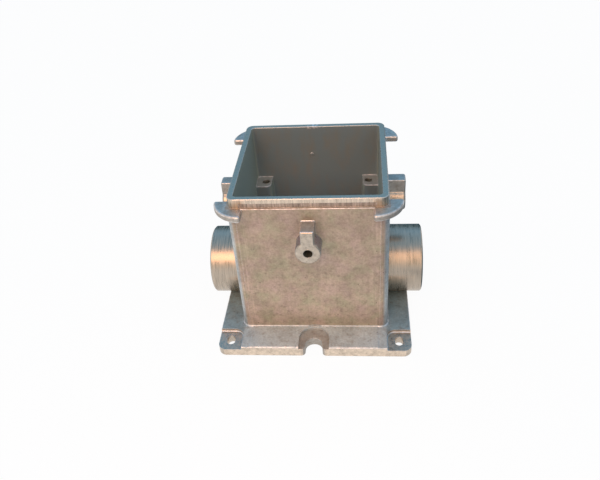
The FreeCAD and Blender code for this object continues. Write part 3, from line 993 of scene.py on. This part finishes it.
@dataclass(frozen=True)
class EntryThread:
    """Helical ridge of a fine metric thread inside one entry spigot."""

    pitch: float = 1.5
    depth: float = 0.85
    end_depth: float = 0.05     # what is left of it where the ridge runs out
    crest_width: float = 0.2
    root_width: float = 1.25
    sink: float = 0.06          # how far the ridge's foot stands in the bore's wall
    lead_in: float = 1.2        # plain length behind the mouth
    turns: float = 13.0
    steps_per_turn: int = 72

    def build(self, side: int, sizes: CastingSizes, finish: bpy.types.Material) -> bpy.types.Object:
        """Make the ridge of one side.

        Args:
            side: 1 for the entry on +X, -1 for the one on -X.
            sizes: Where the entry is.
            finish: The ridge's material.

        Returns:
            The piece.
        """
        ridge = bmesh.new()
        steps = round(self.turns * self.steps_per_turn)
        rings = []
        for step in range(steps + 1):
            angle = 2 * math.pi * step / self.steps_per_turn
            advance = self.lead_in + self.root_width / 2 + self.pitch * step / self.steps_per_turn
            run_out = min(1.0, step / self.steps_per_turn, (steps - step) / self.steps_per_turn)
            rings.append([ridge.verts.new(self.profile_point(side, sizes, angle, advance, run_out, corner))
                          for corner in range(4)])
        join_sections(ridge, rings, ends=True)
        name = "entry_thread_right" if side > 0 else "entry_thread_left"
        return mesh_piece(name, ridge, finish, smooth=False)

    def profile_point(self, side: int, sizes: CastingSizes, angle: float, advance: float,
                      run_out: float, corner: int) -> Vector:
        """One corner of the ridge's section.

        Args:
            side: 1 for +X, -1 for -X.
            sizes: Where the entry is.
            angle: Turn about the entry's axis, in radians.
            advance: Distance behind the mouth of the section's middle.
            run_out: Share of the full depth, which falls to 0 at both ends.
            corner: 0 and 3 at the root, 1 and 2 at the crest.

        Returns:
            The corner in metres.
        """
        at_crest = corner in (1, 2)
        width = self.crest_width if at_crest else self.root_width
        offset = -width / 2 if corner < 2 else width / 2
        radius = sizes.entry_radius + self.sink
        if at_crest:
            radius -= self.sink + self.end_depth + (self.depth - self.end_depth) * run_out
        x = side * (sizes.entry_mouth - advance - offset)
        y = side * radius * math.cos(angle)
        z = sizes.entry_height + radius * math.sin(angle)
        return Vector((x, y, z)) * MM


@dataclass(frozen=True)
class PartingSeam:
    """Thin upright ridge where two slides of the die met on a wall."""

    inset: float = 5.5          # from the side of the box
    width: float = 0.5
    rise: float = 0.14
    sink: float = 0.1
    waver: float = 0.05
    start_gap: float = 0.9      # above the flange
    end_gap: float = 0.3        # below the ledge
    steps: int = 60

    def build(self, index: int, sizes: CastingSizes, finish: bpy.types.Material) -> bpy.types.Object:
        """Make one of the four seams.

        Args:
            index: 0 to 3, counted round from the front left.
            sizes: Where the walls are.
            finish: The seam's material.

        Returns:
            The piece.
        """
        side_x, side_y = QUARTERS[index]
        bottom = sizes.flange_thickness + self.start_gap
        top = sizes.ledge_top - self.end_gap
        seam = bmesh.new()
        rows = []
        for step in range(self.steps + 1):
            share = step / self.steps
            swing = self.waver * math.sin(9.0 * share + index) * math.sin(23.0 * share + 2.0 * index)
            middle_x = side_x * (sizes.box_half_width - self.inset) + swing
            z = bottom + (top - bottom) * share
            crest = self.rise * (0.75 + 0.25 * math.sin(31.0 * share + 1.7 * index))
            section = ((-self.width / 2, -self.sink), (0.0, crest), (self.width / 2, -self.sink))
            rows.append([seam.verts.new(
                Vector((middle_x + across, side_y * (sizes.box_half_depth + out), z)) * MM)
                for across, out in section])
        join_sections(seam, rows, ends=True)
        return mesh_piece(f"parting_seam_{index + 1}", seam, finish, smooth=False)


@dataclass(frozen=True)
class RaisedRing:
    """Low ring on a face: the burr round a drilled hole, or the mark of an ejector pin."""

    inner_radius: float
    width: float
    rise: float
    sink: float = 0.08
    unevenness: float = 0.0     # share by which the rise comes and goes round the ring
    steps: int = 56

    def build(self, name: str, centre: Vector, outward: Vector,
              finish: bpy.types.Material) -> bpy.types.Object:
        """Make the ring.

        Args:
            name: The piece's name.
            centre: Middle of the ring on the face, in millimetres.
            outward: Direction square to the face.
            finish: The ring's material.

        Returns:
            The piece.
        """
        upright = Vector((0.0, 0.0, 1.0)) if abs(outward.z) < 0.5 else Vector((0.0, 1.0, 0.0))
        across = outward.cross(upright).normalized()
        ring = bmesh.new()
        sections = []
        for step in range(self.steps):
            angle = 2 * math.pi * step / self.steps
            radial = across * math.cos(angle) + upright * math.sin(angle)
            swell = 1.0 + self.unevenness * math.sin(3.0 * angle + 0.8) * math.cos(5.0 * angle)
            profile = ((self.inner_radius, -self.sink),
                       (self.inner_radius + 0.05 * self.width, 0.6 * self.rise * swell),
                       (self.inner_radius + 0.35 * self.width, self.rise * swell),
                       (self.inner_radius + 0.75 * self.width, 0.5 * self.rise * swell),
                       (self.inner_radius + self.width, -self.sink))
            sections.append([ring.verts.new((centre + radial * radius + outward * lift) * MM)
                             for radius, lift in profile])
        join_sections(ring, sections + sections[:1])
        return mesh_piece(name, ring, finish)


@dataclass(frozen=True)
class CorePip:
    """Small round pip on the inside of the back wall, left by a pinhole in the core."""

    radius: float = 1.60
    rise: float = 0.45
    sink: float = 0.10
    place_x: float = -3.2
    place_z: float = 91.3
    steps: int = 24
    rows: int = 5

    def build(self, sizes: CastingSizes, finish: bpy.types.Material) -> bpy.types.Object:
        """Make the pip.

        Args:
            sizes: Where the back wall's inside is.
            finish: The pip's material.

        Returns:
            The piece.
        """
        wall_y = sizes.inner_end_wall(self.place_z)
        pip = bmesh.new()
        rings = []
        for row in range(self.rows):
            lean = math.pi / 2 * row / self.rows
            lift = self.rise * math.sin(lean) if row else -self.sink
            reach = self.radius * math.cos(lean)
            angles = [2 * math.pi * step / self.steps for step in range(self.steps)]
            rings.append([pip.verts.new(Vector((self.place_x + reach * math.cos(angle), wall_y - lift,
                                                self.place_z + reach * math.sin(angle))) * MM)
                          for angle in angles])
        crown = pip.verts.new(Vector((self.place_x, wall_y - self.rise, self.place_z)) * MM)
        join_sections(pip, rings)
        for step in range(self.steps):
            pip.faces.new((rings[-1][step], rings[-1][(step + 1) % self.steps], crown))
        pip.faces.new(rings[0][::-1])
        return mesh_piece("core_pip", pip, finish)


@dataclass(frozen=True)
class SmallMarks:
    """Burrs round the drilled holes and ejector marks on the cavity's floor."""

    boss_burr_width: float = 0.60
    pillar_burr_width: float = 0.50
    burr_rise: float = 0.13
    burr_gap: float = 0.02          # from the hole's wall to the burr
    burr_unevenness: float = 0.4
    ejector_radius: float = 4.0
    ejector_width: float = 0.55
    ejector_rise: float = 0.22
    ejector_x: float = 22.0
    ejector_y: float = 20.0

    def build(self, sizes: CastingSizes, cut_finish: bpy.types.Material,
              cast_finish: bpy.types.Material) -> None:
        """Make all the rings.

        Args:
            sizes: Where the holes and the floor are.
            cut_finish: Material of the burrs.
            cast_finish: Material of the ejector marks.
        """
        boss_burr = RaisedRing(sizes.boss_hole_radius + self.burr_gap, self.boss_burr_width,
                               self.burr_rise, unevenness=self.burr_unevenness)
        for name, outward, reach in (("front", (0, -1, 0), sizes.boss_face),
                                     ("back", (0, 1, 0), sizes.boss_face),
                                     ("left", (-1, 0, 0), sizes.side_boss_face),
                                     ("right", (1, 0, 0), sizes.side_boss_face)):
            face = Vector(outward) * reach + Vector((0.0, 0.0, sizes.boss_height))
            boss_burr.build(f"boss_burr_{name}", face, Vector(outward), cut_finish)
        pillar_burr = RaisedRing(sizes.pillar_hole_radius + self.burr_gap, self.pillar_burr_width,
                                 self.burr_rise, unevenness=self.burr_unevenness)
        ejector = RaisedRing(self.ejector_radius, self.ejector_width, self.ejector_rise)
        for number, (side_x, side_y) in enumerate(QUARTERS, start=1):
            pad = Vector((side_x * sizes.pillar_x, side_y * sizes.pillar_y, sizes.pillar_top))
            pillar_burr.build(f"pillar_burr_{number}", pad, Vector((0, 0, 1)), cut_finish)
            floor = Vector((side_x * self.ejector_x, side_y * self.ejector_y, sizes.floor_thickness))
            ejector.build(f"ejector_mark_{number}", floor, Vector((0, 0, 1)), cast_finish)


# ---- Studio ------------------------------------------------------------------------

@dataclass(frozen=True)
class StudioFloor:
    """Wide white table top. Camera and mirror rays see it nearly white, and it keeps a shadow."""

    half_size_m: float = 6.0
    white: str = "#FFFFFF"
    glow_share: float = 0.94

    def build(self) -> bpy.types.Object:
        """Make the floor."""
        material, tree = blank_material("white_table_top")
        path = add_node(tree, "ShaderNodeLightPath")
        seen = add_node(tree, "ShaderNodeMath", {0: path.outputs["Is Camera Ray"],
                                                 1: path.outputs["Is Glossy Ray"]}, operation="MAXIMUM")
        seen = add_node(tree, "ShaderNodeMath", {0: seen.outputs[0], 1: path.outputs["Is Transmission Ray"]},
                        operation="MAXIMUM")
        share = add_node(tree, "ShaderNodeMath", {0: seen.outputs[0], 1: self.glow_share},
                         operation="MULTIPLY")
        paint = add_node(tree, "ShaderNodeBsdfDiffuse", {"Color": self.white})
        glow = add_node(tree, "ShaderNodeEmission", {"Color": self.white, "Strength": 1.0})
        mixed = add_node(tree, "ShaderNodeMixShader", {0: share.outputs[0], 1: paint.outputs[0],
                                                       2: glow.outputs[0]})
        add_node(tree, "ShaderNodeOutputMaterial", {"Surface": mixed.outputs[0]})
        surface = bmesh.new()
        bmesh.ops.create_grid(surface, x_segments=4, y_segments=4, size=self.half_size_m)
        floor = add_object("table_top", surface, material)
        return floor


@dataclass(frozen=True)
class DimBoard:
    """Grey board that lies and stands beside the casting, and that only the metal reflects."""

    name: str
    grey: str
    turn_deg: float         # 0 puts it to the right of the casting, 90 behind it
    side_low_m: float
    side_high_m: float
    near_m: float = 0.085
    far_m: float = 0.34
    lift_m: float = 0.001
    rise_m: float = 0.16

    def build(self) -> bpy.types.Object:
        """Make the board."""
        material, tree = blank_material(f"{self.name}_paint")
        paint = add_node(tree, "ShaderNodeBsdfDiffuse", {"Color": self.grey})
        add_node(tree, "ShaderNodeOutputMaterial", {"Surface": paint.outputs[0]})
        surface = bmesh.new()
        bends = ((self.near_m, self.lift_m), (self.far_m, self.lift_m),
                 (self.far_m, self.lift_m + self.rise_m))
        turn = Matrix.Rotation(math.radians(self.turn_deg), 3, "Z")
        low = [surface.verts.new(turn @ Vector((out, self.side_low_m, z))) for out, z in bends]
        high = [surface.verts.new(turn @ Vector((out, self.side_high_m, z))) for out, z in bends]
        for index in range(2):
            surface.faces.new((low[index], low[index + 1], high[index + 1], high[index]))
        board = add_object(self.name, surface, material)
        board.visible_camera = False
        board.visible_diffuse = False
        board.visible_shadow = False
        return board


@dataclass(frozen=True)
class StudioRoom:
    """Room round the table, as the casting sees it.

    It is warm white in front, dim on the right, cool daylight from behind, and pale all round at
    the horizon.
    """

    front: str = "#FFF0DF"
    back_low: str = "#7C9DB0"
    back_high: str = "#A0D2FC"
    overhead: str = "#A2C4DE"
    right: str = "#7F96A6"
    horizon: str = "#F6F7F8"
    back_axis: tuple[float, float, float] = (0.0, 0.55, 0.83)
    back_start: float = 0.25        # where the daylight starts, 1 along its axis and 0 square to it
    back_full: float = 0.70
    right_start: float = 0.10       # the same for the dim right side, along X
    right_full: float = 0.70
    right_top: float = 0.45         # height of a direction at which the dim side ends
    horizon_top: float = 0.06       # height of a direction, 0 at the horizon and 1 overhead
    low_height: float = 0.25
    high_height: float = 0.66

    def build(self) -> None:
        """Make the world."""
        world = bpy.data.worlds.new("studio_room")
        bpy.context.scene.world = world
        world.use_nodes = True
        tree = world.node_tree
        tree.nodes.clear()
        direction = add_node(tree, "ShaderNodeTexCoord").outputs["Generated"]
        sideways, _, height = add_node(tree, "ShaderNodeSeparateXYZ", {0: direction}).outputs
        daylight = add_node(tree, "ShaderNodeValToRGB", {0: height})
        fill_ramp(daylight, (self.low_height, self.back_low), (self.high_height, self.back_high),
                  (1.0, self.overhead))
        along = add_node(tree, "ShaderNodeVectorMath", {0: direction, 1: self.back_axis},
                         operation="DOT_PRODUCT")
        back = add_node(tree, "ShaderNodeMapRange", {"Value": along.outputs["Value"],
                                                     "From Min": self.back_start,
                                                     "From Max": self.back_full})
        low = add_node(tree, "ShaderNodeMapRange", {
            "Value": height, "From Min": self.horizon_top, "From Max": self.low_height,
            "To Min": 1.0, "To Max": 0.0})
        right = add_node(tree, "ShaderNodeMapRange", {"Value": sideways, "From Min": self.right_start,
                                                      "From Max": self.right_full})
        lower = add_node(tree, "ShaderNodeMapRange", {
            "Value": height, "From Min": self.low_height, "From Max": self.right_top,
            "To Min": 1.0, "To Max": 0.0})
        dim = add_node(tree, "ShaderNodeMath", {0: right.outputs[0], 1: lower.outputs[0]},
                       operation="MULTIPLY")
        front = add_node(tree, "ShaderNodeMix", {0: dim.outputs[0], 6: self.front, 7: self.right},
                         data_type="RGBA")
        sky = add_node(tree, "ShaderNodeMix", {0: back.outputs[0], 6: front.outputs[2],
                                               7: daylight.outputs[0]}, data_type="RGBA")
        room = add_node(tree, "ShaderNodeMix", {0: low.outputs[0], 6: sky.outputs[2], 7: self.horizon},
                        data_type="RGBA")
        light = add_node(tree, "ShaderNodeBackground", {"Color": room.outputs[2], "Strength": 1.0})
        add_node(tree, "ShaderNodeOutputWorld", {"Surface": light.outputs[0]})


@dataclass(frozen=True)
class SoftLamp:
    """Square soft box that points at the casting."""

    name: str
    place_m: tuple[float, float, float]
    size_m: float
    power_w: float
    tint: str
    aim_m: tuple[float, float, float] = (0.0, 0.0, 0.05)

    def build(self) -> bpy.types.Object:
        """Make the lamp, out of the camera's sight."""
        light = bpy.data.lights.new(self.name, "AREA")
        light.shape = "SQUARE"
        light.size = self.size_m
        light.energy = self.power_w
        light.color = linear_colour(self.tint)[:3]
        lamp = bpy.data.objects.new(self.name, light)
        bpy.context.scene.collection.objects.link(lamp)
        lamp.location = self.place_m
        lamp.rotation_euler = (Vector(self.aim_m) - lamp.location).to_track_quat("-Z", "Y").to_euler()
        lamp.visible_camera = False
        return lamp


@dataclass(frozen=True)
class StudioCamera:
    """Camera that looks down into the box from the front."""

    place_m: tuple[float, float, float] = (0.03326, -0.36973, 0.32330)
    turn_deg: float = 6.952     # to the left, seen from above
    tilt_deg: float = -36.70
    roll_deg: float = -4.64
    lens_mm: float = 38.04
    sensor_mm: float = 36.0

    def build(self) -> bpy.types.Object:
        """Make the camera and set it as the scene's own."""
        data = bpy.data.cameras.new("studio_camera")
        data.lens = self.lens_mm
        data.sensor_width = self.sensor_mm
        data.clip_start = 0.01
        data.clip_end = 50.0
        camera = bpy.data.objects.new("studio_camera", data)
        bpy.context.scene.collection.objects.link(camera)
        turn = Matrix.Rotation(math.radians(self.turn_deg), 4, "Z")
        tilt = Matrix.Rotation(math.radians(90.0 + self.tilt_deg), 4, "X")
        roll = Matrix.Rotation(math.radians(self.roll_deg), 4, "Z")
        camera.matrix_world = Matrix.Translation(Vector(self.place_m)) @ turn @ tilt @ roll
        bpy.context.scene.camera = camera
        return camera


@dataclass(frozen=True)
class Studio:
    """Floor, boards, room, lamps and camera."""

    floor: StudioFloor = StudioFloor()
    boards: tuple[DimBoard, ...] = (
        DimBoard("right_board", "#7B919D", turn_deg=0.0, side_low_m=-0.45, side_high_m=0.08),
        DimBoard("back_board", "#5F7F8D", turn_deg=90.0, side_low_m=-0.30, side_high_m=0.30),
    )
    room: StudioRoom = StudioRoom()
    camera: StudioCamera = StudioCamera()
    lamps: tuple[SoftLamp, ...] = (
        SoftLamp("front_lamp", (-0.10, -0.42, 0.42), size_m=0.30, power_w=1.15, tint="#FFC29B"),
    )

    def build(self) -> None:
        """Make all of the studio."""
        self.camera.build()
        self.floor.build()
        for board in self.boards:
            board.build()
        self.room.build()
        for lamp in self.lamps:
            lamp.build()
            LOG.info("%s: %.1f W", lamp.name, lamp.power_w)
        bpy.context.scene.view_settings.view_transform = "Standard"


def main() -> None:
    """Dress the casting, add its fine pieces and build the studio."""
    logging.basicConfig(level=logging.INFO, format="%(name)s: %(message)s")
    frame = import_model()
    sizes = CastingSizes.from_frame(frame)
    casting = frame["nodes"][CASTING]
    cast_finish = DieCastAluminium().build(sizes)
    casting.material_slots[0].material = cast_finish
    LOG.info("%s: dressed", CASTING)
    tapped = TappedAluminium().build()
    for side in (-1, 1):
        EntryThread().build(side, sizes, tapped)
    for index in range(len(QUARTERS)):
        PartingSeam().build(index, sizes, cast_finish)
    SmallMarks().build(sizes, tapped, cast_finish)
    CorePip().build(sizes, cast_finish)
    Studio().build()


if __name__ == "__main__":
    main()
